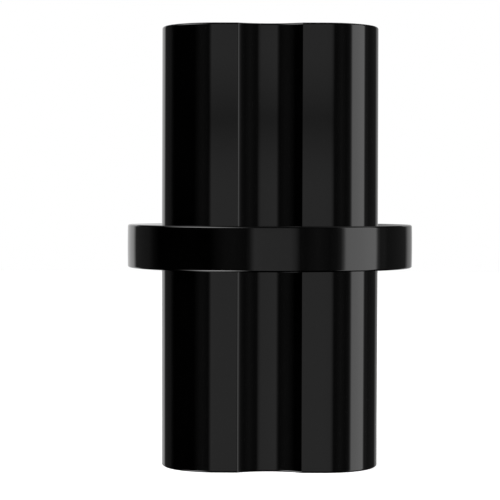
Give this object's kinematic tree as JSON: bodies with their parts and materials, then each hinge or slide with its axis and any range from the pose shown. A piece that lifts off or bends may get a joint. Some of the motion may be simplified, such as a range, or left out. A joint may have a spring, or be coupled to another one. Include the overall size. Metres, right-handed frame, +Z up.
{
  "type": "internal pipe coupling",
  "caption": "Internal pipe coupling moulded in black plastic: fluted hollow spigots push into the ends of pipes, and a round collar at mid length stops them flush.",
  "frame": {"origin": "centre of the lower end face, on the surface that the fitting stands on", "axes": "+Z up the fitting's axis; one flute faces -Y and one faces +X"},
  "size_m": [0.06, 0.06, 0.09],
  "materials": {
    "black_pvc": "smooth high-gloss moulded black"
  },
  "bodies": {
    "root": {"coupling": "black_pvc"}
  },
  "joints": []
}
